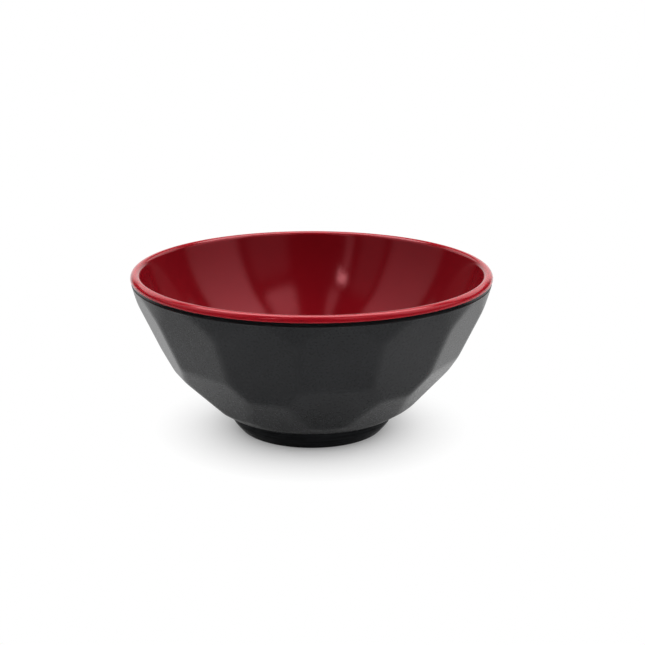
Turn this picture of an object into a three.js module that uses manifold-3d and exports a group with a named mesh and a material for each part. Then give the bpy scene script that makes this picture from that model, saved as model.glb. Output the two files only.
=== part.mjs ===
// Two-tone melamine rice bowl: a faceted black shell with a foot ring, and a smooth red liner whose lip rolls
// over the rim. Millimetres, +Z up. The origin is the middle of the foot ring's resting face, and -Y is the front.

import * as THREE from 'three';
import { mergeVertices } from 'three/addons/utils/BufferGeometryUtils.js';
import Module from 'manifold-3d';

const wasm = await Module();
wasm.setup();

// Overall form
const RIM_DIAMETER = 127;
const HEIGHT = 58;

// Lip of the liner, and the polished band of the shell under it
const LIP_THICKNESS = 4.1;
const LIP_LAND = 1.3;        // upright stretch inside the lip, below its round top
const LIP_FLOW = 6;          // height over which the lip runs into the inside wall
const BAND_HEIGHT = 1.05;

// Wall, measured square to the facets, and base
const SHELL_WALL = 1.8;
const LINER_WALL = 1.5;
const SHELL_BASE = 2.3;
const LINER_BASE = 1.9;
const BOND_GAP = 0.3;        // clearance between the two mouldings

// Foot ring
const FOOT_DIAMETER = 53.2;
const FOOT_HEIGHT = 7.2;
const FOOT_RING = 3;         // width of the ring at the table
const FOOT_FLARE = 4.6;      // how far the ring widens from the table up to the wall
const LEDGE_WIDTH = 0.8;     // underside of the wall, outside the ring
const BASE_DROP = 3;         // how far the base hangs below the underside of the wall
const RECESS_DRAFT = 1;

// Facets: short and long columns take turns around the wall
const FACET_PAIRS = 7;
const FACET_TURN = THREE.MathUtils.degToRad(8.6);
const KNUCKLE_HEIGHT = 29.7; // where the upper facets of the short columns end
const KNUCKLE_BULGE = 5;     // how far they stand out there from the straight line between ledge and band
const LONG_FACET_END = 23.2; // where the upper facets of the long columns end
const ARCH_DROP = 8;         // from the band down to where neighbouring facets meet in an edge
const SKIRT_ANGLE = THREE.MathUtils.degToRad(34);
const SHORT_SKIRT = 3.8;     // height of the round skirt under a short column
const LONG_SKIRT = 0.7;      // height of the round skirt under a long column

// Rounding radii
const FOOT_ROUND = 0.6;
const RECESS_ROUND = 1.6;
const FLARE_ROUND = 1.2;
const LEDGE_ROUND = 0.9;
const LIP_ROUND = 8;
const KNUCKLE_ROUND = 60;
const FLOOR_ROUND = 20;

// Fineness of the round forms
const SEGMENTS_PER_COLUMN = 4;
const LIP_STEPS = 10;
const ROUND_STEP = THREE.MathUtils.degToRad(16);

const COLUMNS = 2 * FACET_PAIRS;
const COLUMN_ANGLE = 2 * Math.PI / COLUMNS;
const CUT_MARGIN = 1;        // how far a facet's cut runs on past its lower end

// Heights and radii worked out from the sizes above
const rimRadius = RIM_DIAMETER / 2;
const lipSeat = HEIGHT - LIP_THICKNESS / 2;
const bandBottom = lipSeat - BAND_HEIGHT;
const footRadius = FOOT_DIAMETER / 2;
const flareRadius = footRadius + FOOT_FLARE;
const ledgeRadius = flareRadius + LEDGE_WIDTH;
const recessRadius = footRadius - FOOT_RING;
const recessCeiling = FOOT_HEIGHT - BASE_DROP;
const shellFloor = recessCeiling + SHELL_BASE;
const linerUnderside = shellFloor + BOND_GAP;
const linerFloor = linerUnderside + LINER_BASE;

// A straight line in the bowl's section, through two points, as a radius for each height
class SectionLine {
  constructor(low, high) {
    this.low = low;
    this.high = high;
    this.slope = (high.x - low.x) / (high.y - low.y);
  }

  radiusAt(height) {
    return this.low.x + this.slope * (height - this.low.y);
  }

  // The same line moved square to itself, towards the axis
  inset(distance) {
    const shift = new THREE.Vector2(-distance * Math.hypot(1, this.slope), 0);
    return new SectionLine(this.low.clone().add(shift), this.high.clone().add(shift));
  }

  meet(other) {
    const gap = other.radiusAt(0) - this.radiusAt(0);
    const height = gap / (this.slope - other.slope);
    return new THREE.Vector2(this.radiusAt(height), height);
  }
}

// The facets' middle lines, from which the inside walls take their shape too
const bandEdge = new THREE.Vector2(rimRadius, bandBottom);
const ledgeEdge = new THREE.Vector2(ledgeRadius, FOOT_HEIGHT);
const skirtEnd = new THREE.Vector2(ledgeRadius + Math.cos(SKIRT_ANGLE), FOOT_HEIGHT + Math.sin(SKIRT_ANGLE));
const skirt = new SectionLine(ledgeEdge, skirtEnd);
const chord = new SectionLine(ledgeEdge, bandEdge);
const knuckle = new THREE.Vector2(chord.radiusAt(KNUCKLE_HEIGHT) + KNUCKLE_BULGE, KNUCKLE_HEIGHT);
const upperFacet = new SectionLine(knuckle, bandEdge);
const longEnd = new THREE.Vector2(upperFacet.radiusAt(LONG_FACET_END), LONG_FACET_END);
const shortFacet = new SectionLine(onSkirt(SHORT_SKIRT), knuckle);
const longFacet = new SectionLine(onSkirt(LONG_SKIRT), longEnd);

function onSkirt(rise) {
  const height = FOOT_HEIGHT + rise;
  return new THREE.Vector2(skirt.radiusAt(height), height);
}

// Corners with a rounding radius each, as a line of points. A round takes at most half of the side next to it.
function roundedOutline(corners) {
  const points = [];
  corners.forEach(([radius, height, round = 0], i) => {
    const corner = new THREE.Vector2(radius, height);
    if (round === 0) {
      points.push(corner);
      return;
    }
    const before = new THREE.Vector2(...corners[i - 1].slice(0, 2)).sub(corner);
    const after = new THREE.Vector2(...corners[i + 1].slice(0, 2)).sub(corner);
    const room = Math.min(before.length(), after.length()) / 2;
    const turn = Math.PI - before.angleTo(after);
    const reach = Math.min(round * Math.tan(turn / 2), room);
    const start = corner.clone().addScaledVector(before.normalize(), reach);
    const end = corner.clone().addScaledVector(after.normalize(), reach);
    const steps = Math.max(2, Math.ceil(turn / ROUND_STEP));
    points.push(...new THREE.QuadraticBezierCurve(start, corner, end).getPoints(steps));
  });
  return points;
}

// A line of points from axis to axis, turned into a closed solid about +Z
function turned(points) {
  const lathe = new THREE.LatheGeometry(points, COLUMNS * SEGMENTS_PER_COLUMN);
  lathe.rotateX(Math.PI / 2);
  lathe.deleteAttribute('normal');
  lathe.deleteAttribute('uv');
  const merged = mergeVertices(lathe);
  const index = merged.index.array;
  const faces = [];
  for (let i = 0; i < index.length; i += 3) {
    const [a, b, c] = index.slice(i, i + 3);
    if (a !== b && b !== c && c !== a) faces.push(a, b, c);
  }
  merged.setIndex(faces);
  return merged;
}

function solid(geometry) {
  return new wasm.Manifold(new wasm.Mesh({
    numProp: 3,
    vertProperties: new Float32Array(geometry.attributes.position.array),
    triVerts: new Uint32Array(geometry.index.array),
  }));
}

function geometryOf(manifold) {
  const mesh = manifold.getMesh();
  const geometry = new THREE.BufferGeometry();
  geometry.setAttribute('position', new THREE.BufferAttribute(mesh.vertProperties, mesh.numProp));
  geometry.setIndex(new THREE.BufferAttribute(mesh.triVerts, 1));
  return geometry;
}

// A block whose inner face is the plane of a facet, turned to the facet's place around the bowl
function facetCut(line, azimuth) {
  const span = Math.hypot(line.high.x - line.low.x, line.high.y - line.low.y);
  const length = span + HEIGHT / 2 + CUT_MARGIN;
  const block = new THREE.BoxGeometry(RIM_DIAMETER, rimRadius, length);
  block.translate(0, -rimRadius / 2, length / 2 - CUT_MARGIN);
  block.rotateX(Math.atan(line.slope));
  block.translate(0, -line.low.x, line.low.y);
  block.rotateZ(azimuth);
  block.deleteAttribute('normal');
  block.deleteAttribute('uv');
  return solid(mergeVertices(block));
}

// The inside of a moulding: from its top down the wall to its floor on the axis, inset from the facets
function insideWall(inset, floor, rounding) {
  const upper = upperFacet.inset(inset);
  const middle = shortFacet.inset(inset);
  const lower = longFacet.inset(inset);
  const upperTurn = upper.meet(middle);
  const lowerTurn = middle.meet(lower);
  return [
    [upperTurn.x, upperTurn.y, KNUCKLE_ROUND + rounding],
    [lowerTurn.x, lowerTurn.y, KNUCKLE_ROUND + rounding],
    [lower.radiusAt(floor), floor, FLOOR_ROUND + rounding],
    [0, floor],
  ];
}

function outerShell() {
  const top = lipSeat - BOND_GAP;
  const archHeight = bandBottom - ARCH_DROP;
  const archRadius = upperFacet.radiusAt(archHeight) / Math.cos(COLUMN_ANGLE / 2);
  const roundWall = new SectionLine(new THREE.Vector2(archRadius, archHeight), bandEdge);
  const shoulder = roundWall.meet(skirt);
  const bond = upperFacet.inset(SHELL_WALL);
  const blank = solid(turned(roundedOutline([
    [0, recessCeiling],
    [recessRadius - RECESS_DRAFT, recessCeiling, RECESS_ROUND],
    [recessRadius, 0, FOOT_ROUND],
    [footRadius, 0, FOOT_ROUND],
    [flareRadius, FOOT_HEIGHT, FLARE_ROUND],
    [ledgeRadius, FOOT_HEIGHT, LEDGE_ROUND],
    [shoulder.x, shoulder.y],
    [rimRadius, bandBottom],
    [rimRadius, top],
    [bond.radiusAt(top), top],
    ...insideWall(SHELL_WALL, shellFloor, LINER_WALL + BOND_GAP),
  ])));

  let shell = blank;
  for (let column = 0; column < COLUMNS; column += 1) {
    const azimuth = column * COLUMN_ANGLE;
    const lowerFacet = column % 2 === 0 ? shortFacet : longFacet;
    shell = shell.subtract(facetCut(new SectionLine(longEnd, bandEdge), azimuth));
    shell = shell.subtract(facetCut(lowerFacet, azimuth));
  }
  return geometryOf(shell);
}

function innerLiner() {
  const outerInset = SHELL_WALL + BOND_GAP;
  const innerInset = outerInset + LINER_WALL;
  const lipRadius = LIP_THICKNESS / 2;
  const lipTop = new THREE.EllipseCurve(rimRadius - lipRadius, lipSeat, lipRadius, lipRadius, 0, Math.PI);
  const landEnd = lipSeat - LIP_LAND;
  const flowEnd = landEnd - LIP_FLOW;
  const inside = roundedOutline([
    [rimRadius - LIP_THICKNESS, lipSeat],
    [rimRadius - LIP_THICKNESS, landEnd, LIP_ROUND],
    [upperFacet.inset(innerInset).radiusAt(flowEnd), flowEnd],
    ...insideWall(innerInset, linerFloor, 0),
  ]);
  const outside = roundedOutline([
    [upperFacet.inset(outerInset).radiusAt(lipSeat), lipSeat],
    ...insideWall(outerInset, linerUnderside, LINER_WALL),
  ]);
  return turned([...outside.reverse(), ...lipTop.getPoints(LIP_STEPS), ...inside.slice(1)]);
}

const blackMelamine = new THREE.MeshStandardMaterial({ color: 0x1d1e20, roughness: 0.42, metalness: 0 });
const redMelamine = new THREE.MeshStandardMaterial({ color: 0x8c0f1a, roughness: 0.14, metalness: 0 });

function piece(name, geometry, material) {
  geometry.computeVertexNormals();
  const mesh = new THREE.Mesh(geometry, material);
  mesh.name = name;
  return mesh;
}

const bowl = new THREE.Group();
bowl.rotation.z = FACET_TURN;
bowl.add(piece('outer_shell', outerShell(), blackMelamine));
bowl.add(piece('inner_liner', innerLiner(), redMelamine));

export default bowl;
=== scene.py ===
"""Two-tone melamine rice bowl: a satin black shell with soft facets, and a glossy red liner with a lip.

Lengths are in metres. +Z is up along the bowl's axis, and -Y is the front. Angles around the bowl start at
the front and grow towards +X.
"""

import math

import bpy
import numpy as np
from mathutils import Matrix, Vector


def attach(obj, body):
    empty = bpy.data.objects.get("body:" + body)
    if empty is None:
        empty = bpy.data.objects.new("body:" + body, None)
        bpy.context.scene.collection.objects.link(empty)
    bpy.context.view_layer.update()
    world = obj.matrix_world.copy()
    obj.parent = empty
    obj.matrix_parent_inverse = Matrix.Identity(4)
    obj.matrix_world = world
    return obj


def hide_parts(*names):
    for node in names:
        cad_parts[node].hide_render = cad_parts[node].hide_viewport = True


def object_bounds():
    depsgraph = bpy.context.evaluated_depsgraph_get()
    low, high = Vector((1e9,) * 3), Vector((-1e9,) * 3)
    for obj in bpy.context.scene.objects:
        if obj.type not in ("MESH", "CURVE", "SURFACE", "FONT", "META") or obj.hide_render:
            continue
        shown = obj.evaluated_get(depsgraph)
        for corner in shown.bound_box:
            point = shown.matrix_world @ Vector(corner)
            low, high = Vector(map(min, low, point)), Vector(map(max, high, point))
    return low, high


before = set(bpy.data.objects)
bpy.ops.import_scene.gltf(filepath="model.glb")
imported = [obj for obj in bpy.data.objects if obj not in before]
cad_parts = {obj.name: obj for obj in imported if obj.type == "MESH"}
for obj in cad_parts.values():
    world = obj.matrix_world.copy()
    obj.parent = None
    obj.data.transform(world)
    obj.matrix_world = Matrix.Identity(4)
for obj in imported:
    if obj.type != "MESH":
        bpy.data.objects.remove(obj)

cad_box = [list(corner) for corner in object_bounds()]

bl_info = {
    "name": "Melamine Rice Bowl",
    "version": (1, 0, 0),
    "blender": (4, 5, 0),
    "location": "View3D > Sidebar > Rice Bowl",
    "description": "Builds a two-tone melamine rice bowl: a faceted black shell and a glossy red liner",
    "category": "Add Mesh",
}

MM = 0.001
BODY = "root"

# Fineness of the meshes
COLUMN_STEPS = 24            # steps across one column of facets
WALL_STEP = 0.5 * MM         # height of one row of the faceted wall
OUTLINE_STEP = 1.4 * MM      # longest straight step along a section
LIP_STEP = OUTLINE_STEP / 2  # the same on the lip and the inside wall
BAND_STEP = OUTLINE_STEP / 4
BOND_STEP = 3 * OUTLINE_STEP
ARC_STEP = math.radians(9)   # turn of one step along a rounding
ARC_STEPS_MIN = 3

# The soft edges between the facets
FACET_FACING = 0.5           # a facet cuts only where the wall faces its way by more than this cosine
BLUR_REACH = 4               # the patch that an edge is averaged over, in widths of the bell curve
RIDGE_LOSS = 0.12            # share of the softness that the sharpest edges lose

# Below this height the foot ring's face is ground
GROUND_HEIGHT = 0.1 * MM

# Order of the shell's finishes in its material slots
SATIN, POLISHED, GROUND, SMOOTH = 0, 1, 2, 3

# Nearly all values of a noise pattern lie between these two
NOISE_LOW = 0.3
NOISE_HIGH = 0.7


def linear(hex_colour):
    """An sRGB hex colour as linear red, green, blue and alpha."""
    parts = [int(hex_colour[i:i + 2], 16) / 255 for i in (1, 3, 5)]
    return [c / 12.92 if c <= 0.04045 else ((c + 0.055) / 1.055) ** 2.4 for c in parts] + [1.0]


def widest_radius(node):
    """Greatest distance of a node's corners from the bowl's axis."""
    return max(v.co.xy.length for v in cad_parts[node].data.vertices)


def length(name, description, metres):
    """A property that holds a length."""
    return bpy.props.FloatProperty(
        name=name, description=description, default=metres, min=0.0, precision=5, unit="LENGTH")


def angle(name, description, degrees):
    """A property that holds an angle."""
    return bpy.props.FloatProperty(
        name=name, description=description, default=math.radians(degrees), unit="ROTATION")


def colour(name, description, hex_colour):
    """A property that holds a colour."""
    return bpy.props.FloatVectorProperty(
        name=name, description=description, default=linear(hex_colour), size=4, min=0.0, max=1.0,
        subtype="COLOR")


class BowlSizes(bpy.types.PropertyGroup):
    """Sizes of the two mouldings, without the facets."""

    rim_diameter: length("Rim diameter", "Width across the lip", 2 * widest_radius("inner_liner"))
    height: length("Height", "From the table to the top of the lip", cad_box[1][2])
    lip_thickness: length("Lip thickness", "Width of the rolled lip", 3.6 * MM)
    lip_height: length("Lip height", "From the joint with the shell to the top of the lip", 2.05 * MM)
    lip_over: length("Lip overhang", "How far the lip stands out over the band", 0.3 * MM)
    lip_edge: length("Lip edge", "Rounding of the lip's lower edge, at the joint with the shell", 0.12 * MM)
    band_height: length("Band height", "Height of the polished band under the lip", 1.35 * MM)
    band_inset: length("Band inset", "How far the band lies back from the facets' top edge", 0.25 * MM)
    band_lean: length("Band lean", "How far the band leans in from its foot to the lip", 0.28 * MM)
    band_edge: length("Band edge", "Rounding of the band's lower edge", 0.25 * MM)
    joint_line: length("Joint line", "Open line between the lip and the band", 0.04 * MM)
    shell_wall: length("Shell wall", "Thickness of the black wall, square to its facets", 1.8 * MM)
    shell_base: length("Shell base", "Thickness of the black base", 2.3 * MM)
    liner_wall: length("Liner wall", "By how much the roundings of the red wall's back are wider", 1.5 * MM)
    liner_knuckle: length("Liner knuckle", "Thickness of the red wall, from its upper bend down", 2.1 * MM)
    liner_base: length("Liner base", "Thickness of the red base", 1.9 * MM)
    bond_gap: length("Bond gap", "Clearance between the two mouldings", 0.3 * MM)
    foot_diameter: length("Foot diameter", "Width of the foot ring at the table", 52.0 * MM)
    foot_height: length("Foot height", "From the table to the underside of the wall", 7.2 * MM)
    foot_ring: length("Foot ring", "Width of the ring at the table", 3 * MM)
    foot_flare: length("Foot flare", "How far the ring widens from the table to the wall", 4.1 * MM)
    foot_bow: length("Foot bow", "How far the foot's side bows out at half its height", 1.0 * MM)
    foot_bow_round: length("Foot bow round", "Radius of the bowed foot's side", 12 * MM)
    ledge_width: length("Ledge width", "Underside of the wall, outside the ring", 1.9 * MM)
    base_drop: length("Base drop", "How far the base hangs below the underside of the wall", 3 * MM)
    recess_draft: length("Recess draft", "How far the recess narrows towards the base", 1 * MM)
    foot_round: length("Foot rounding", "Rounding of the ring's lower edges", 0.5 * MM)
    recess_round: length("Recess rounding", "Rounding inside the recess", 1.6 * MM)
    flare_round: length("Flare rounding", "Rounding between the ring and the ledge", 0.4 * MM)
    ledge_round: length("Ledge rounding", "Rounding of the ledge's outer edge", 0.5 * MM)
    knuckle_round: length("Knuckle rounding", "Rounding of the two bends of the inside wall", 60 * MM)
    wall_bow: length("Wall bow", "Radius of the gentle hollow of the inside wall under the lip", 100 * MM)
    wall_ease: length("Wall ease", "How far the bends of the inside wall run into each other", 4 * MM)
    floor_round: length("Floor rounding", "Rounding between the inside wall and the floor", 20 * MM)


class FacetSizes(bpy.types.PropertyGroup):
    """Layout of the facets: short and long columns take turns around the wall."""

    pairs: bpy.props.IntProperty(
        name="Facet pairs", description="Number of short columns, and of long ones", default=7, min=3)
    turn: angle("Facet turn", "From the front to the middle of the first short column", 8.6)
    knuckle_height: length("Knuckle height", "Where the upper facets of the short columns end", 29.7 * MM)
    knuckle_bulge: length("Knuckle bulge", "How far they stand out there from the wall's chord", 5.3 * MM)
    long_end: length("Long facet end", "Where the upper facets of the long columns end", 23.2 * MM)
    arch_drop: length("Arch drop", "From the band to where neighbouring facets meet in an edge", 8 * MM)
    skirt_angle: angle("Skirt angle", "Rise of the round skirt above the ledge", 34)
    short_skirt: length("Short skirt", "Height of the skirt under a short column", 3.8 * MM)
    long_skirt: length("Long skirt", "Height of the skirt under a long column", 0.7 * MM)
    softness: length("Edge softness", "How far the moulded edges between facets are rounded off", 1.2 * MM)
    skirt_blend: length("Skirt blend", "Depth of the rounding between a facet and the skirt", 0.4 * MM)


class BowlColours(bpy.types.PropertyGroup):
    """Colours of the mouldings and of the floor under them."""

    black: colour("Black", "Melamine of the shell", "#1c1d1f")
    black_cloud: colour("Black, clouded", "Where the black powder flowed and set a little paler", "#232426")
    black_polished: colour("Black, polished", "The shell where it was buffed", "#161718")
    black_ground: colour("Black, ground", "The foot ring's ground face", "#38393b")
    red: colour("Red", "Melamine of the liner", "#7f0d17")
    # Painted light: the lip's lighter red stands in for the top light falling on the lip, against the shade
    # inside the bowl
    red_lip_painted_light: colour("Red, painted lip light", "The lip, coloured lighter as painted light from above", "#a41521")
    red_cloud: colour("Red, clouded", "Where the red powder flowed and set a little deeper", "#780b15")
    red_sheen: colour("Red sheen", "Tint of the gloss on the red", "#ff97a0")
    floor: colour("Floor", "Table under the bowl", "#f4f4f4")


class StudioSettings(bpy.types.PropertyGroup):
    """Where the camera stands."""

    elevation: angle("Camera elevation", "How far the camera looks down", 16.05)
    distance: length("Camera distance", "From the camera to the bowl's middle", 476.25 * MM)
    look_height: length("Look height", "Height on the bowl's axis that the camera looks at", 37.91 * MM)
    focal: bpy.props.FloatProperty(
        name="Focal length", description="Lens of the camera", default=74.2, unit="CAMERA")


class SectionLine:
    """A straight line in the bowl's section, as a radius for each height."""

    def __init__(self, low, high):
        self.low = Vector(low)
        self.high = Vector(high)
        self.slope = (self.high.x - self.low.x) / (self.high.y - self.low.y)

    def radius_at(self, height):
        return self.low.x + self.slope * (height - self.low.y)

    def inset(self, distance):
        """The same line moved square to itself, towards the axis."""
        shift = Vector((-distance * math.hypot(1, self.slope), 0))
        return SectionLine(self.low + shift, self.high + shift)

    def meet(self, other):
        height = (other.radius_at(0) - self.radius_at(0)) / (self.slope - other.slope)
        return Vector((self.radius_at(height), height))


class Section:
    """Heights, radii and lines of the bowl's section, worked out from its sizes."""

    def __init__(self, sizes, facets):
        self.sizes = sizes
        self.rim = sizes.rim_diameter / 2
        self.lip_seat = sizes.height - sizes.lip_height
        self.band_bottom = self.lip_seat - sizes.band_height
        self.foot = sizes.foot_diameter / 2
        self.flare = self.foot + sizes.foot_flare
        self.ledge = self.flare + sizes.ledge_width
        self.recess = self.foot - sizes.foot_ring
        self.recess_ceiling = sizes.foot_height - sizes.base_drop
        self.shell_floor = self.recess_ceiling + sizes.shell_base
        self.liner_underside = self.shell_floor + sizes.bond_gap
        self.liner_floor = self.liner_underside + sizes.liner_base

        band_edge = Vector((self.rim, self.band_bottom))
        ledge_edge = Vector((self.ledge, sizes.foot_height))
        rise = Vector((math.cos(facets.skirt_angle), math.sin(facets.skirt_angle)))
        self.skirt = SectionLine(ledge_edge, ledge_edge + rise)
        chord = SectionLine(ledge_edge, band_edge)
        knuckle_radius = chord.radius_at(facets.knuckle_height) + facets.knuckle_bulge
        knuckle = Vector((knuckle_radius, facets.knuckle_height))
        self.upper = SectionLine(knuckle, band_edge)
        long_end = Vector((self.upper.radius_at(facets.long_end), facets.long_end))
        self.short = SectionLine(self.on_skirt(facets.short_skirt), knuckle)
        self.long = SectionLine(self.on_skirt(facets.long_skirt), long_end)
        arch_height = self.band_bottom - facets.arch_drop
        arch_radius = self.upper.radius_at(arch_height) / math.cos(math.pi / (2 * facets.pairs))
        self.round_wall = SectionLine((arch_radius, arch_height), band_edge)

    def on_skirt(self, rise):
        height = self.sizes.foot_height + rise
        return Vector((self.skirt.radius_at(height), height))

    def inside_wall(self, inset, floor, rounding):
        """Corners of a moulding's inside, from its upper bend down to its floor."""
        upper = self.upper.inset(inset)
        middle = self.short.inset(inset)
        lower = self.long.inset(inset)
        knuckle = self.sizes.knuckle_round + rounding
        return [
            (*upper.meet(middle), knuckle),
            (*middle.meet(lower), knuckle),
            (lower.radius_at(floor), floor, self.sizes.floor_round + rounding),
            (0, floor, 0),
        ]


def arc_steps(turn, radius):
    """Number of steps along an arc."""
    turn = abs(turn)
    return max(ARC_STEPS_MIN, math.ceil(turn / ARC_STEP), math.ceil(turn * radius / OUTLINE_STEP))


def rounded_outline(corners):
    """Corners (radius, height, rounding) as a line of points.

    A rounding is an arc, and takes up at most half of the sides at its corner.
    """
    points = []
    for i, (radius, height, rounding) in enumerate(corners):
        corner = Vector((radius, height))
        if rounding == 0:
            points.append(corner)
            continue
        before = Vector(corners[i - 1][:2]) - corner
        after = Vector(corners[i + 1][:2]) - corner
        half = before.angle(after) / 2
        reach = min(rounding / math.tan(half), before.length / 2, after.length / 2)
        start = corner + before.normalized() * reach
        bisector = (before.normalized() + after.normalized()).normalized()
        middle = corner + bisector * reach / math.cos(half)
        side = before.x * after.y - before.y * after.x
        turn = math.copysign(math.pi - 2 * half, -side)
        spoke = start - middle
        steps = arc_steps(turn, spoke.length)
        for step in range(steps + 1):
            points.append(middle + Matrix.Rotation(turn * step / steps, 2) @ spoke)
    return points


def arc(middle, radius, start, end):
    """Points on an arc between two angles."""
    steps = arc_steps(end - start, radius)
    turns = [start + (end - start) * step / steps for step in range(steps + 1)]
    return [middle + radius * Vector((math.cos(turn), math.sin(turn))) for turn in turns]


def arc_middle(high, high_reach, low, low_reach):
    """The point at two given distances from two points, on the side towards the axis."""
    down = low - high
    along = (high_reach ** 2 - low_reach ** 2 + down.length_squared) / (2 * down.length)
    aside = math.sqrt(high_reach ** 2 - along ** 2)
    down.normalize()
    return high + along * down - aside * Vector((-down.y, down.x))


def spaced(points, step):
    """The same line of points with more points on its long straight stretches."""
    filled = [points[0]]
    for point in points[1:]:
        last = filled[-1].copy()
        count = max(1, math.ceil((point - last).length / step))
        filled.extend(last.lerp(point, k / count) for k in range(1, count + 1))
    return filled


def eased(points, reach):
    """The same line of points with its bends eased into each other over a length."""
    line = np.array(points)
    step = np.linalg.norm(np.diff(line, axis=0), axis=1).mean()
    for _ in range(math.ceil(2 * (reach / step) ** 2)):
        line[1:-1] = (line[:-2] + 2 * line[1:-1] + line[2:]) / 4
    return [Vector(point) for point in line]


class Skin:
    """A closed skin around the bowl's axis, gathered ring by ring from the underside to the top."""

    def __init__(self, columns):
        self.columns = columns
        self.angles = np.arange(columns) * math.tau / columns
        self.radii = []
        self.heights = []
        self.wears_and_painted_lip_light = []
        self.finishes = []

    def ring(self, radius, height, finish=0, wear_and_painted_lip_light=0.0):
        self.radii.append(np.broadcast_to(radius, self.columns))
        self.heights.append(np.broadcast_to(height, self.columns))
        self.wears_and_painted_lip_light.append(np.broadcast_to(wear_and_painted_lip_light, self.columns))
        self.finishes.append(finish)

    def outline(self, points, finish=0):
        for point in points:
            self.ring(point.x, point.y, finish)

    def mesh(self, name, low_pole, high_pole):
        """The mesh, closed on the axis at two heights. A row of faces has its lower ring's finish."""
        radii = np.array(self.radii)
        x = radii * np.sin(self.angles)
        y = -radii * np.cos(self.angles)
        rings = np.stack([x, y, np.array(self.heights)], axis=-1).reshape(-1, 3)
        points = np.vstack([[0, 0, low_pole], rings, [0, 0, high_pole]])
        first = 1 + np.arange(self.columns)
        following = np.roll(first, -1)
        last = (len(self.radii) - 1) * self.columns
        faces = [(0, b, a) for a, b in zip(first, following)]
        finishes = [self.finishes[0]] * self.columns
        for row in range(len(self.radii) - 1):
            low = row * self.columns
            high = low + self.columns
            faces.extend(zip(first + low, following + low, following + high, first + high))
            finishes.extend([self.finishes[row]] * self.columns)
        faces.extend((a, b, len(points) - 1) for a, b in zip(first + last, following + last))
        finishes.extend([self.finishes[-1]] * self.columns)

        mesh = bpy.data.meshes.new(name)
        mesh.from_pydata(points.tolist(), [], [tuple(int(v) for v in face) for face in faces])
        mesh.polygons.foreach_set("material_index", finishes)
        mesh.polygons.foreach_set("use_smooth", [True] * len(faces))
        # On the shell this attribute holds edge wear, which smooths the gloss. On the liner it holds the
        # painted lip light
        wear_and_painted_lip_light = mesh.attributes.new("wear_and_painted_lip_light", "FLOAT", "POINT")
        wear_and_painted_lip_light.data.foreach_set("value", np.concatenate([[0], np.ravel(self.wears_and_painted_lip_light), [0]]).astype(np.float32))
        mesh.validate()
        mesh.update()
        return mesh


def place_piece(name, mesh, node):
    """Puts a moulding in the scene, where it rides on the bowl's body in place of its CAD node."""
    piece = bpy.data.objects.new(name, mesh)
    bpy.context.scene.collection.objects.link(piece)
    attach(piece, BODY)
    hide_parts(node)
    return piece


def faceted_wall(section, facets, heights, angles):
    """Radius of the wall by row and column, with soft facet edges, and how near each point is to an edge.

    The flat facets, and the round wall that they cut into arches under the band, meet in sharp edges. The
    edges of a moulding are soft, so the radii are averaged over a small patch, with a bell curve as wide as
    the softness.
    """
    reach = BLUR_REACH * facets.softness
    extra = np.arange(WALL_STEP, reach, WALL_STEP)
    rows = np.concatenate([heights[0] - extra[::-1], heights, heights[-1] + extra])
    sharp = np.repeat(section.round_wall.radius_at(rows)[:, None], len(angles), axis=1)
    columns = 2 * facets.pairs
    for column in range(columns):
        off = angles - facets.turn - column * math.tau / columns
        facing = np.cos(off)
        seen = facing > FACET_FACING
        lower = section.short if column % 2 == 0 else section.long
        flat = np.minimum(section.upper.radius_at(rows), lower.radius_at(rows))
        sharp[:, seen] = np.minimum(sharp[:, seen], flat[:, None] / facing[seen])

    waves = np.fft.rfftfreq(len(angles), 1 / len(angles))
    spread = facets.softness / sharp.mean(axis=1, keepdims=True)
    bell = np.exp(-0.5 * (waves * spread) ** 2)
    around = np.fft.irfft(np.fft.rfft(sharp, axis=1) * bell, len(angles), axis=1)
    lean = math.cos(math.atan(section.short.slope))
    weights = np.exp(-0.5 * ((heights[:, None] - rows) / (facets.softness * lean)) ** 2)
    soft = weights / weights.sum(axis=1, keepdims=True) @ around

    own = sharp[len(extra):len(extra) + len(heights)]
    ridge = np.clip((own - soft) / (RIDGE_LOSS * facets.softness), 0, 1)
    skirt = section.skirt.radius_at(heights)[:, None]
    near = np.clip(1 - np.abs(soft - skirt) / facets.skirt_blend, 0, 1)
    return np.minimum(soft, skirt) - near ** 2 * facets.skirt_blend / 4, ridge


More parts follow.
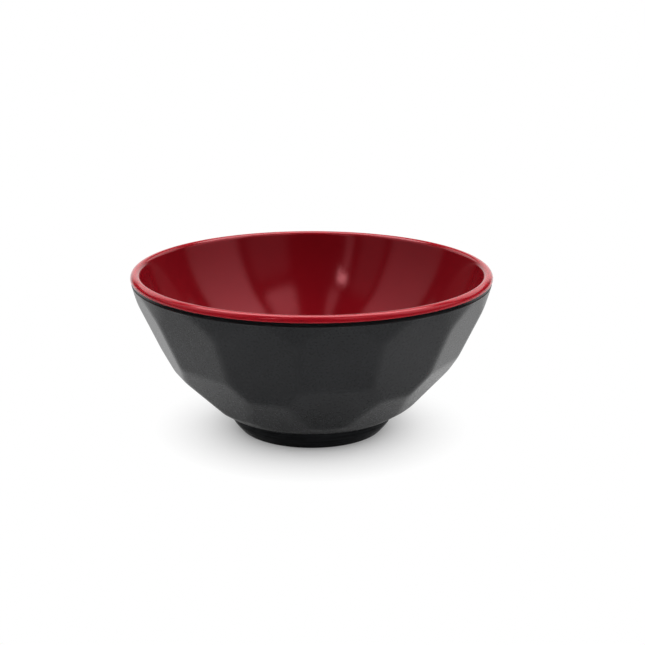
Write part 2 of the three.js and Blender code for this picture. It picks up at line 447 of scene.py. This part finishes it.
def shell_mesh(sizes, facets):
    """The black moulding: recess, foot ring, ledge, faceted wall, polished band, and inside at the bond."""
    section = Section(sizes, facets)
    skin = Skin(2 * facets.pairs * COLUMN_STEPS)
    under = section.on_skirt(facets.long_skirt)
    foot = rounded_outline([
        (0, section.recess_ceiling, 0),
        (section.recess - sizes.recess_draft, section.recess_ceiling, sizes.recess_round),
        (section.recess, 0, sizes.foot_round),
        (section.foot, 0, sizes.foot_round),
        ((section.foot + section.flare) / 2 + sizes.foot_bow, sizes.foot_height / 2, sizes.foot_bow_round),
        (section.flare, sizes.foot_height, sizes.flare_round),
        (section.ledge, sizes.foot_height, sizes.ledge_round),
        (under.x, under.y, 0),
    ])
    for point in spaced(foot, OUTLINE_STEP)[1:-1]:
        on_table = point.y < GROUND_HEIGHT
        inside_recess = point.x < section.recess and not on_table
        finish = GROUND if on_table else SATIN if inside_recess else SMOOTH
        skin.ring(point.x, point.y, finish)

    band_foot = section.band_bottom - sizes.band_edge
    rows = math.ceil((band_foot - under.y) / WALL_STEP)
    heights = np.linspace(under.y, band_foot, rows + 1)
    radii, ridges = faceted_wall(section, facets, heights, skin.angles)
    for row, height in enumerate(heights):
        skin.ring(radii[row], height, SATIN, ridges[row])

    top = section.lip_seat - sizes.joint_line
    bond = section.upper.inset(sizes.shell_wall)
    band_radius = section.rim - sizes.band_inset
    band = rounded_outline([
        (section.round_wall.radius_at(band_foot), band_foot, 0),
        (section.rim, section.band_bottom, sizes.band_edge),
        (band_radius, section.band_bottom + sizes.band_edge / 2, sizes.band_edge / 2),
        (band_radius - sizes.band_lean, top, sizes.joint_line),
        (bond.radius_at(top), top, 0),
    ])
    skin.outline(spaced(band[1:], BAND_STEP), POLISHED)
    inside = rounded_outline([
        (bond.radius_at(top), top, 0),
        *section.inside_wall(sizes.shell_wall, section.shell_floor, sizes.liner_wall + sizes.bond_gap),
    ])
    skin.outline(spaced(inside, BOND_STEP)[1:-1], SATIN)
    return skin.mesh("outer_shell_skin", section.recess_ceiling, section.shell_floor)


def liner_mesh(sizes, facets):
    """The red moulding: its back at the bond, the full round lip, and the smooth inside."""
    section = Section(sizes, facets)
    skin = Skin(2 * facets.pairs * COLUMN_STEPS)
    outer_inset = sizes.shell_wall + sizes.bond_gap
    inner_inset = outer_inset + sizes.liner_knuckle
    back = rounded_outline([
        (section.upper.inset(outer_inset).radius_at(section.lip_seat), section.lip_seat, 0),
        *section.inside_wall(outer_inset, section.liner_underside, sizes.liner_wall),
    ])
    skin.outline(spaced(back[::-1], BOND_STEP)[1:])

    lip_radius = sizes.lip_thickness / 2
    lip_outside = section.rim + sizes.lip_over
    lip_middle = Vector((lip_outside - lip_radius, sizes.height - lip_radius))
    low_edge = Vector((lip_outside - sizes.lip_edge, section.lip_seat + sizes.lip_edge))
    inside = section.inside_wall(inner_inset, section.liner_floor, 0)
    knuckle = Vector(inside[0][:2])
    bow_middle = arc_middle(lip_middle, lip_radius + sizes.wall_bow, knuckle, sizes.wall_bow)
    to_bow = bow_middle - lip_middle
    touch = lip_middle + to_bow.normalized() * lip_radius
    lip = [back[0]] + arc(low_edge, sizes.lip_edge, -math.pi / 2, 0)
    lip += arc(lip_middle, lip_radius, 0, math.atan2(to_bow.y, to_bow.x))
    for point in spaced(lip, LIP_STEP)[1:]:
        # Here buffed is a painted-light mask: 1 on the lip's top and outer half, fading to 0 towards its
        # inner edge
        buffed = (point.x - touch.x) / (lip_middle.x - touch.x)
        skin.ring(point.x, point.y, wear_and_painted_lip_light=min(1.0, max(0.0, buffed)))
    first, last = (math.atan2(*(end - bow_middle).yx) for end in (touch, knuckle))
    wall = arc(bow_middle, sizes.wall_bow, first, last) + rounded_outline([(*knuckle, 0), *inside[1:]])[1:]
    skin.outline(eased(spaced(wall, LIP_STEP), sizes.wall_ease)[1:-1])
    return skin.mesh("inner_liner_skin", section.liner_underside, section.liner_floor)


def add_node(tree, kind, settings=None, **inputs):
    """Adds a node with its settings, and with its inputs set to values or linked to other outputs."""
    node = tree.nodes.new(kind)
    for name, value in (settings or {}).items():
        setattr(node, name, value)
    for name, value in inputs.items():
        socket = node.inputs[name.replace("_", " ")]
        if isinstance(value, bpy.types.NodeSocket):
            tree.links.new(value, socket)
        else:
            socket.default_value = value
    return node


def new_material(name):
    """An empty node material, with the place on the bowl as its pattern coordinates."""
    material = bpy.data.materials.new(name)
    material.use_nodes = True
    material.node_tree.nodes.clear()
    place = add_node(material.node_tree, "ShaderNodeTexCoord").outputs["Object"]
    return material, material.node_tree, place


def satin_black_melamine(colours):
    """Black melamine pressed in a blasted steel tool: a fine even grain spreads reflections to a soft sheen.

    The grain is about 0.2 mm, finer than the render shows, so it is drawn at 0.9 mm. The powder's flow
    leaves faint clouds some 22 mm across, and handling wears the facet edges a little smoother.
    """
    grain_size = 0.9 * MM
    cloud_size = 22 * MM
    wear_roughness = -0.05
    material, tree, place = new_material("Black melamine, moulded satin")
    cloud = add_node(tree, "ShaderNodeTexNoise", Vector=place, Scale=1 / cloud_size, Detail=2.0)
    tint = add_node(tree, "ShaderNodeValToRGB", Fac=cloud.outputs["Fac"])
    tint.color_ramp.elements[0].position = 0.35
    tint.color_ramp.elements[0].color = colours.black
    tint.color_ramp.elements[1].position = 0.75
    tint.color_ramp.elements[1].color = colours.black_cloud
    grain = add_node(tree, "ShaderNodeTexNoise", Vector=place, Scale=1 / grain_size, Detail=3.0)
    rough = add_node(
        tree, "ShaderNodeMapRange", Value=grain.outputs["Fac"],
        From_Min=NOISE_LOW, From_Max=NOISE_HIGH, To_Min=0.265, To_Max=0.295)
    edge = add_node(tree, "ShaderNodeAttribute", {"attribute_name": "wear_and_painted_lip_light"})
    worn = add_node(tree, "ShaderNodeMath", {"operation": "MULTIPLY_ADD"})
    tree.links.new(edge.outputs["Fac"], worn.inputs[0])
    worn.inputs[1].default_value = wear_roughness
    tree.links.new(rough.outputs["Result"], worn.inputs[2])
    relief = add_node(
        tree, "ShaderNodeBump", Height=grain.outputs["Fac"], Strength=0.06, Distance=0.004 * MM)
    shader = add_node(
        tree, "ShaderNodeBsdfPrincipled", Base_Color=tint.outputs["Color"],
        Roughness=worn.outputs["Value"], IOR=1.26, Normal=relief.outputs["Normal"])
    add_node(tree, "ShaderNodeOutputMaterial", Surface=shader.outputs["BSDF"])
    return material


def polished_black_melamine(colours):
    """Black melamine buffed on a wheel after trimming: clear reflections, with faint lines around the bowl.

    The wheel's lines are about 0.1 mm apart, finer than the render shows, so they are drawn 0.5 mm apart.
    """
    line_length = 15 * MM
    line_spacing = 0.5 * MM
    material, tree, place = new_material("Black melamine, buffed")
    along = add_node(
        tree, "ShaderNodeMapping", Vector=place, Scale=(1.0, 1.0, line_length / line_spacing))
    lines = add_node(
        tree, "ShaderNodeTexNoise", Vector=along.outputs["Vector"], Scale=1 / line_length, Detail=2.0)
    rough = add_node(
        tree, "ShaderNodeMapRange", Value=lines.outputs["Fac"],
        From_Min=NOISE_LOW, From_Max=NOISE_HIGH, To_Min=0.09, To_Max=0.17)
    relief = add_node(tree, "ShaderNodeBump", Height=lines.outputs["Fac"], Strength=0.2, Distance=0.01 * MM)
    tint = add_node(tree, "ShaderNodeValToRGB", Fac=lines.outputs["Fac"])
    tint.color_ramp.elements[0].position = NOISE_LOW
    tint.color_ramp.elements[0].color = colours.black_polished
    tint.color_ramp.elements[1].position = 0.8
    tint.color_ramp.elements[1].color = colours.black
    shader = add_node(
        tree, "ShaderNodeBsdfPrincipled", Base_Color=tint.outputs["Color"],
        Roughness=rough.outputs["Result"], IOR=1.25, Normal=relief.outputs["Normal"])
    add_node(tree, "ShaderNodeOutputMaterial", Surface=shader.outputs["BSDF"])
    return material


def smooth_black_melamine(colours):
    """Black melamine as a smooth steel ring leaves it, on the foot's side: near black, with a dim gloss.

    The ring's turning marks are about 0.15 mm apart, finer than the render shows, so they are drawn
    0.6 mm apart.
    """
    mark_length = 12 * MM
    mark_spacing = 0.6 * MM
    material, tree, place = new_material("Black melamine, moulded smooth")
    along = add_node(
        tree, "ShaderNodeMapping", Vector=place, Scale=(1.0, 1.0, mark_length / mark_spacing))
    marks = add_node(
        tree, "ShaderNodeTexNoise", Vector=along.outputs["Vector"], Scale=1 / mark_length, Detail=2.0)
    rough = add_node(
        tree, "ShaderNodeMapRange", Value=marks.outputs["Fac"],
        From_Min=NOISE_LOW, From_Max=NOISE_HIGH, To_Min=0.2, To_Max=0.26)
    relief = add_node(
        tree, "ShaderNodeBump", Height=marks.outputs["Fac"], Strength=0.15, Distance=0.01 * MM)
    tint = add_node(tree, "ShaderNodeValToRGB", Fac=marks.outputs["Fac"])
    tint.color_ramp.elements[0].position = NOISE_LOW
    tint.color_ramp.elements[0].color = colours.black_cloud
    tint.color_ramp.elements[1].position = NOISE_HIGH
    tint.color_ramp.elements[1].color = colours.black_ground
    shader = add_node(
        tree, "ShaderNodeBsdfPrincipled", Base_Color=tint.outputs["Color"],
        Roughness=rough.outputs["Result"], IOR=1.07, Normal=relief.outputs["Normal"])
    add_node(tree, "ShaderNodeOutputMaterial", Surface=shader.outputs["BSDF"])
    return material


def ground_black_melamine(colours):
    """Black melamine ground flat on a belt, where the ring stands: a dull grey face with fine scratches.

    The belt's grit leaves scratches about 0.15 mm apart, finer than the render shows, so they are drawn
    about 0.6 mm apart.
    """
    scratch_length = 8 * MM
    scratch_stretch = 14.0
    material, tree, place = new_material("Black melamine, ground")
    along = add_node(tree, "ShaderNodeMapping", Vector=place, Scale=(1.0, scratch_stretch, 1.0))
    scratch = add_node(
        tree, "ShaderNodeTexNoise", Vector=along.outputs["Vector"], Scale=1 / scratch_length, Detail=3.0)
    tint = add_node(tree, "ShaderNodeValToRGB", Fac=scratch.outputs["Fac"])
    tint.color_ramp.elements[0].position = NOISE_LOW
    tint.color_ramp.elements[0].color = colours.black
    tint.color_ramp.elements[1].position = NOISE_HIGH
    tint.color_ramp.elements[1].color = colours.black_ground
    rough = add_node(
        tree, "ShaderNodeMapRange", Value=scratch.outputs["Fac"],
        From_Min=NOISE_LOW, From_Max=NOISE_HIGH, To_Min=0.5, To_Max=0.7)
    relief = add_node(
        tree, "ShaderNodeBump", Height=scratch.outputs["Fac"], Strength=0.4, Distance=0.03 * MM)
    shader = add_node(
        tree, "ShaderNodeBsdfPrincipled", Base_Color=tint.outputs["Color"],
        Roughness=rough.outputs["Result"], IOR=1.33, Normal=relief.outputs["Normal"])
    add_node(tree, "ShaderNodeOutputMaterial", Surface=shader.outputs["BSDF"])
    return material


def polished_red_melamine(colours):
    """Red melamine pressed against a polished steel core: a clear gloss with slightly wavering reflections.

    The core's polishing leaves waves about 9 mm long. Broad clouds about 30 mm across come from the
    powder's flow, and a haze of wiping marks about 1.5 mm wide varies the gloss. The lip is painted lighter:
    painted light that stands in for the top light on the lip, against the shade inside the bowl.
    """
    wave_length = 9 * MM
    cloud_size = 30 * MM
    haze_size = 1.5 * MM
    material, tree, place = new_material("Red melamine, moulded gloss")
    cloud = add_node(tree, "ShaderNodeTexNoise", Vector=place, Scale=1 / cloud_size, Detail=2.0)
    tint = add_node(tree, "ShaderNodeValToRGB", Fac=cloud.outputs["Fac"])
    tint.color_ramp.elements[0].position = NOISE_LOW
    tint.color_ramp.elements[0].color = colours.red_cloud
    tint.color_ramp.elements[1].position = NOISE_HIGH
    tint.color_ramp.elements[1].color = colours.red
    # The lighter red mixed in here is painted light on the lip, not a buffed finish
    buffed = add_node(tree, "ShaderNodeAttribute", {"attribute_name": "wear_and_painted_lip_light"})
    paint = add_node(
        tree, "ShaderNodeMixRGB", Fac=buffed.outputs["Fac"],
        Color1=tint.outputs["Color"], Color2=colours.red_lip_painted_light)
    haze = add_node(tree, "ShaderNodeTexNoise", Vector=place, Scale=1 / haze_size, Detail=2.0)
    rough = add_node(
        tree, "ShaderNodeMapRange", Value=haze.outputs["Fac"],
        From_Min=NOISE_LOW, From_Max=NOISE_HIGH, To_Min=0.1, To_Max=0.14)
    wave = add_node(tree, "ShaderNodeTexNoise", Vector=place, Scale=1 / wave_length, Detail=1.0)
    relief = add_node(tree, "ShaderNodeBump", Height=wave.outputs["Fac"], Strength=0.3, Distance=0.02 * MM)
    shader = add_node(
        tree, "ShaderNodeBsdfPrincipled", Base_Color=paint.outputs["Color"],
        Roughness=rough.outputs["Result"], IOR=1.5, Specular_Tint=colours.red_sheen,
        Normal=relief.outputs["Normal"])
    add_node(tree, "ShaderNodeOutputMaterial", Surface=shader.outputs["BSDF"])
    return material


class RICEBOWL_OT_outer_shell(bpy.types.Operator):
    """Make the black shell, with its facets, band and foot ring"""

    bl_idname = "ricebowl.outer_shell"
    bl_label = "Outer Shell"

    def execute(self, context):
        bowl = context.scene.rice_bowl
        mesh = shell_mesh(bowl.sizes, bowl.facets)
        shell = place_piece("black_shell", mesh, "outer_shell")
        finishes = {
            SATIN: satin_black_melamine,
            POLISHED: polished_black_melamine,
            GROUND: ground_black_melamine,
            SMOOTH: smooth_black_melamine,
        }
        for finish in sorted(finishes):
            mesh.materials.append(finishes[finish](bowl.colours))
        context.view_layer.objects.active = shell
        return {"FINISHED"}


class RICEBOWL_OT_inner_liner(bpy.types.Operator):
    """Make the red liner, with its rolled lip"""

    bl_idname = "ricebowl.inner_liner"
    bl_label = "Inner Liner"

    def execute(self, context):
        bowl = context.scene.rice_bowl
        mesh = liner_mesh(bowl.sizes, bowl.facets)
        liner = place_piece("red_liner", mesh, "inner_liner")
        mesh.materials.append(polished_red_melamine(bowl.colours))
        context.view_layer.objects.active = liner
        return {"FINISHED"}


# The studio: curved softboxes around the bowl. Azimuth is the angle from the front towards +X
LOOK_AT = Vector((0, 0, 40 * MM))
SOFTBOX_DISTANCE = 0.9
SOFTBOX_STEPS = 24
SOFTBOXES = [
    # name, azimuth from and to, elevation from and to, strength low and high, share of its half that fades
    ("softbox_top", 85, 275, 48, 88, 6.0, 6.0, 0.25),
    ("softbox_right", 56, 107, 10, 66, 0.1, 3.9, 0.22),
    ("softbox_left", -112, -61, 8, 66, 0.1, 2.4, 0.22),
    ("softbox_back_right", 116, 168, 19, 42, 1.4, 1.4, 0.2),
    ("softbox_back_left", -168, -116, 19, 42, 1.4, 1.4, 0.2),
    ("softbox_front_right", 12, 55, 42, 66, 2.3, 2.3, 0.5),
    ("softbox_front_left", -34, -23, 36, 44, 9.5, 9.5, 0.45),
    ("softbox_front_strip", -34, -26, 20, 39, 0.6, 1.3, 0.5),
    ("softbox_haze_right", 14, 57, 16, 43, 0.35, 0.5, 0.5),
    ("softbox_haze_left", -62, -36, 16, 50, 0.35, 0.5, 0.5),
    ("softbox_front_high", -31, -16, 43, 68, 1.5, 1.5, 0.55),
]

# The photo's frame, in which the bowl's axis stands left of the middle
FRAME_PIXELS = 645
AXIS_PIXEL = 311.6
SENSOR_WIDTH = 36.0
CLIP_START = 0.01
CLIP_END = 20.0

# The floor: its own colour under the bowl, where the shadow lies, and white further out
FLOOR_RADIUS = 3.0
FLOOR_STEPS = 64
SHADOW_START = 24.5 * MM
SHADOW_END = 57 * MM
SHADE_BEND = 0.5
GLOSS_SHADE_END = 95 * MM
GLOSS_SHADE = 0.16

# The room: a white backdrop low down behind the bowl, and dark elsewhere
BACKDROP_TOP = math.sin(math.radians(18))
BACKDROP_FADE = math.sin(math.radians(28))
BACKDROP_SIDE = 0.8
BACKDROP_SIDE_FADE = 0.95
ROOM_LIGHT = 0.03

# The white board ends in front of the bowl, where the gloss shows the dark room
BOARD_FRONT = -0.26
BOARD_FRONT_FADE = -0.17


def direction(azimuth, elevation):
    """Unit vector from the bowl towards an angle around it and an angle above the floor."""
    flat = math.cos(elevation)
    return Vector((flat * math.sin(azimuth), -flat * math.cos(azimuth), math.sin(elevation)))


def softbox(name, azimuth_from, azimuth_to, elevation_from, elevation_to, low, high, fade):
    """A glowing curved panel that faces the bowl and fades out at its edges. The camera doesn't see it."""
    along = np.linspace(-1, 1, SOFTBOX_STEPS + 1)
    across, up = np.meshgrid(along, along)
    azimuths = np.radians(azimuth_from + (azimuth_to - azimuth_from) * (across + 1) / 2)
    elevations = np.radians(elevation_from + (elevation_to - elevation_from) * (up + 1) / 2)
    points = [
        LOOK_AT + SOFTBOX_DISTANCE * direction(azimuth, elevation)
        for azimuth, elevation in zip(azimuths.ravel(), elevations.ravel())
    ]
    row = SOFTBOX_STEPS + 1
    faces = []
    for i in range(SOFTBOX_STEPS):
        for j in range(SOFTBOX_STEPS):
            corner = i * row + j
            faces.append((corner, corner + 1, corner + row + 1, corner + row))
    mesh = bpy.data.meshes.new(name)
    mesh.from_pydata(points, [], faces)
    edge = np.clip((1 - np.abs(across)) / fade, 0, 1) * np.clip((1 - np.abs(up)) / fade, 0, 1)
    level = edge ** 2 * (3 - 2 * edge) * (low + (high - low) * (up + 1) / 2)
    glow = mesh.attributes.new("glow", "FLOAT", "POINT")
    glow.data.foreach_set("value", level.ravel().astype(np.float32))

    material, tree, _ = new_material(name)
    strength = add_node(tree, "ShaderNodeAttribute", {"attribute_name": "glow"})
    light = add_node(tree, "ShaderNodeEmission", Strength=strength.outputs["Fac"])
    add_node(tree, "ShaderNodeOutputMaterial", Surface=light.outputs["Emission"])
    mesh.materials.append(material)

    panel = bpy.data.objects.new(name, mesh)
    bpy.context.scene.collection.objects.link(panel)
    panel.visible_camera = False


def room():
    """The world: a dark room with a white backdrop low down behind the bowl, plain white to the camera."""
    world = bpy.data.worlds.new("room")
    world.use_nodes = True
    tree = world.node_tree
    tree.nodes.clear()
    place = add_node(tree, "ShaderNodeTexCoord")
    parts = add_node(tree, "ShaderNodeSeparateXYZ", Vector=place.outputs["Generated"])
    low = add_node(
        tree, "ShaderNodeMapRange", {"interpolation_type": "SMOOTHSTEP"}, Value=parts.outputs["Z"],
        From_Min=BACKDROP_TOP, From_Max=BACKDROP_FADE, To_Min=1.0, To_Max=0.0)
    behind = add_node(
        tree, "ShaderNodeMapRange", {"interpolation_type": "SMOOTHSTEP"}, Value=parts.outputs["Y"],
        From_Min=BACKDROP_SIDE, From_Max=BACKDROP_SIDE_FADE, To_Min=0.0, To_Max=1.0)
    backdrop = add_node(tree, "ShaderNodeMath", {"operation": "MULTIPLY"})
    tree.links.new(low.outputs["Result"], backdrop.inputs[0])
    tree.links.new(behind.outputs["Result"], backdrop.inputs[1])
    rays = add_node(tree, "ShaderNodeLightPath")
    shown = add_node(tree, "ShaderNodeMath", {"operation": "MAXIMUM"})
    tree.links.new(backdrop.outputs["Value"], shown.inputs[0])
    tree.links.new(rays.outputs["Is Camera Ray"], shown.inputs[1])
    level = add_node(tree, "ShaderNodeMath", {"operation": "MAXIMUM"})
    tree.links.new(shown.outputs["Value"], level.inputs[0])
    level.inputs[1].default_value = ROOM_LIGHT
    light = add_node(tree, "ShaderNodeBackground", Color=(1, 1, 1, 1), Strength=level.outputs["Value"])
    add_node(tree, "ShaderNodeOutputWorld", Surface=light.outputs["Background"])
    bpy.context.scene.world = world


def floor_material(colours):
    """Matt white board: its own shade where the bowl's shadow falls, and plain white further out."""
    material, tree, _ = new_material("White board")
    geometry = add_node(tree, "ShaderNodeNewGeometry")
    flat = add_node(tree, "ShaderNodeVectorMath", {"operation": "MULTIPLY"})
    tree.links.new(geometry.outputs["Position"], flat.inputs[0])
    flat.inputs[1].default_value = (1, 1, 0)
    radius = add_node(tree, "ShaderNodeVectorMath", {"operation": "LENGTH"}, Vector=flat.outputs["Vector"])
    clear_of_foot = add_node(
        tree, "ShaderNodeMapRange", Value=radius.outputs["Value"],
        From_Min=SHADOW_START, From_Max=SHADOW_END, To_Min=0.0, To_Max=1.0)
    white = add_node(tree, "ShaderNodeMath", {"operation": "POWER"})
    tree.links.new(clear_of_foot.outputs["Result"], white.inputs[0])
    white.inputs[1].default_value = SHADE_BEND
    gloss_white = add_node(
        tree, "ShaderNodeMapRange", {"interpolation_type": "SMOOTHSTEP"}, Value=radius.outputs["Value"],
        From_Min=SHADOW_START, From_Max=GLOSS_SHADE_END, To_Min=GLOSS_SHADE, To_Max=1.0)
    parts = add_node(tree, "ShaderNodeSeparateXYZ", Vector=geometry.outputs["Position"])
    sheet = add_node(
        tree, "ShaderNodeMapRange", {"interpolation_type": "SMOOTHSTEP"}, Value=parts.outputs["Y"],
        From_Min=BOARD_FRONT, From_Max=BOARD_FRONT_FADE, To_Min=0.0, To_Max=1.0)
    rays = add_node(tree, "ShaderNodeLightPath")
    mirrored = add_node(tree, "ShaderNodeMath", {"operation": "MAXIMUM"})
    tree.links.new(rays.outputs["Is Glossy Ray"], mirrored.inputs[0])
    tree.links.new(rays.outputs["Is Transmission Ray"], mirrored.inputs[1])
    shares = []
    for kind, level in (
            (rays.outputs["Is Camera Ray"], white.outputs["Value"]),
            (mirrored.outputs["Value"], gloss_white.outputs["Result"])):
        share = add_node(tree, "ShaderNodeMath", {"operation": "MULTIPLY"})
        tree.links.new(kind, share.inputs[0])
        tree.links.new(level, share.inputs[1])
        shares.append(share.outputs["Value"])
    in_gloss = add_node(tree, "ShaderNodeMath", {"operation": "MULTIPLY_ADD"})
    tree.links.new(shares[1], in_gloss.inputs[0])
    tree.links.new(sheet.outputs["Result"], in_gloss.inputs[1])
    tree.links.new(shares[0], in_gloss.inputs[2])
    board = add_node(tree, "ShaderNodeBsdfDiffuse", Color=colours.floor)
    glow = add_node(tree, "ShaderNodeEmission", Strength=1.0)
    top = add_node(tree, "ShaderNodeMixShader", Fac=in_gloss.outputs["Value"])
    tree.links.new(board.outputs["BSDF"], top.inputs[1])
    tree.links.new(glow.outputs["Emission"], top.inputs[2])
    clear = add_node(tree, "ShaderNodeBsdfTransparent")
    sided = add_node(tree, "ShaderNodeMixShader", Fac=geometry.outputs["Backfacing"])
    tree.links.new(top.outputs["Shader"], sided.inputs[1])
    tree.links.new(clear.outputs["BSDF"], sided.inputs[2])
    add_node(tree, "ShaderNodeOutputMaterial", Surface=sided.outputs["Shader"])
    return material


def floor_board(colours):
    """The round white board that the bowl stands on."""
    turns = [math.tau * k / FLOOR_STEPS for k in range(FLOOR_STEPS)]
    points = [(FLOOR_RADIUS * math.cos(t), FLOOR_RADIUS * math.sin(t), 0) for t in turns]
    mesh = bpy.data.meshes.new("floor")
    mesh.from_pydata(points, [], [tuple(range(FLOOR_STEPS))])
    mesh.materials.append(floor_material(colours))
    board = bpy.data.objects.new("floor", mesh)
    bpy.context.scene.collection.objects.link(board)


def camera(studio):
    """The camera at the photo's viewing angle."""
    data = bpy.data.cameras.new("camera")
    data.sensor_width = SENSOR_WIDTH
    data.lens = studio.focal
    data.shift_x = (FRAME_PIXELS / 2 - AXIS_PIXEL) / FRAME_PIXELS
    data.clip_start = CLIP_START
    data.clip_end = CLIP_END
    stand = bpy.data.objects.new("camera", data)
    towards = direction(0, studio.elevation)
    stand.location = Vector((0, 0, studio.look_height)) + towards * studio.distance
    stand.rotation_mode = "QUATERNION"
    stand.rotation_quaternion = (-towards).to_track_quat("-Z", "Y")
    bpy.context.scene.collection.objects.link(stand)
    bpy.context.scene.camera = stand


class RICEBOWL_OT_stage(bpy.types.Operator):
    """Make the floor, the room, the lights and the camera"""

    bl_idname = "ricebowl.stage"
    bl_label = "Stage"

    def execute(self, context):
        bowl = context.scene.rice_bowl
        floor_board(bowl.colours)
        room()
        for box in SOFTBOXES:
            softbox(*box)
        camera(bowl.studio)
        context.scene.view_settings.view_transform = "Standard"
        return {"FINISHED"}


class RiceBowl(bpy.types.PropertyGroup):
    """Everything about the bowl that a user would change."""

    sizes: bpy.props.PointerProperty(name="Sizes", description="Sizes of the mouldings", type=BowlSizes)
    facets: bpy.props.PointerProperty(name="Facets", description="Layout of the facets", type=FacetSizes)
    colours: bpy.props.PointerProperty(name="Colours", description="Colours of the bowl", type=BowlColours)
    studio: bpy.props.PointerProperty(name="Studio", description="The camera's place", type=StudioSettings)


class RICEBOWL_PT_panel(bpy.types.Panel):
    """Sizes, colours and the steps that make the bowl"""

    bl_idname = "RICEBOWL_PT_panel"
    bl_label = "Rice Bowl"
    bl_space_type = "VIEW_3D"
    bl_region_type = "UI"
    bl_category = "Rice Bowl"

    def draw(self, context):
        bowl = context.scene.rice_bowl
        for operator in OPERATORS:
            self.layout.operator(operator.bl_idname)
        for group in (bowl.sizes, bowl.facets, bowl.colours, bowl.studio):
            box = self.layout.box()
            for name in group.__annotations__:
                box.prop(group, name)


OPERATORS = (RICEBOWL_OT_outer_shell, RICEBOWL_OT_inner_liner, RICEBOWL_OT_stage)
CLASSES = (BowlSizes, FacetSizes, BowlColours, StudioSettings, RiceBowl, *OPERATORS, RICEBOWL_PT_panel)


def register():
    for cls in CLASSES:
        bpy.utils.register_class(cls)
    bpy.types.Scene.rice_bowl = bpy.props.PointerProperty(
        name="Rice bowl", description="Settings of the rice bowl", type=RiceBowl)


def unregister():
    del bpy.types.Scene.rice_bowl
    for cls in reversed(CLASSES):
        bpy.utils.unregister_class(cls)


def main():
    register()
    bpy.ops.ricebowl.outer_shell()
    bpy.ops.ricebowl.inner_liner()
    bpy.ops.ricebowl.stage()


if __name__ == "__main__":
    main()
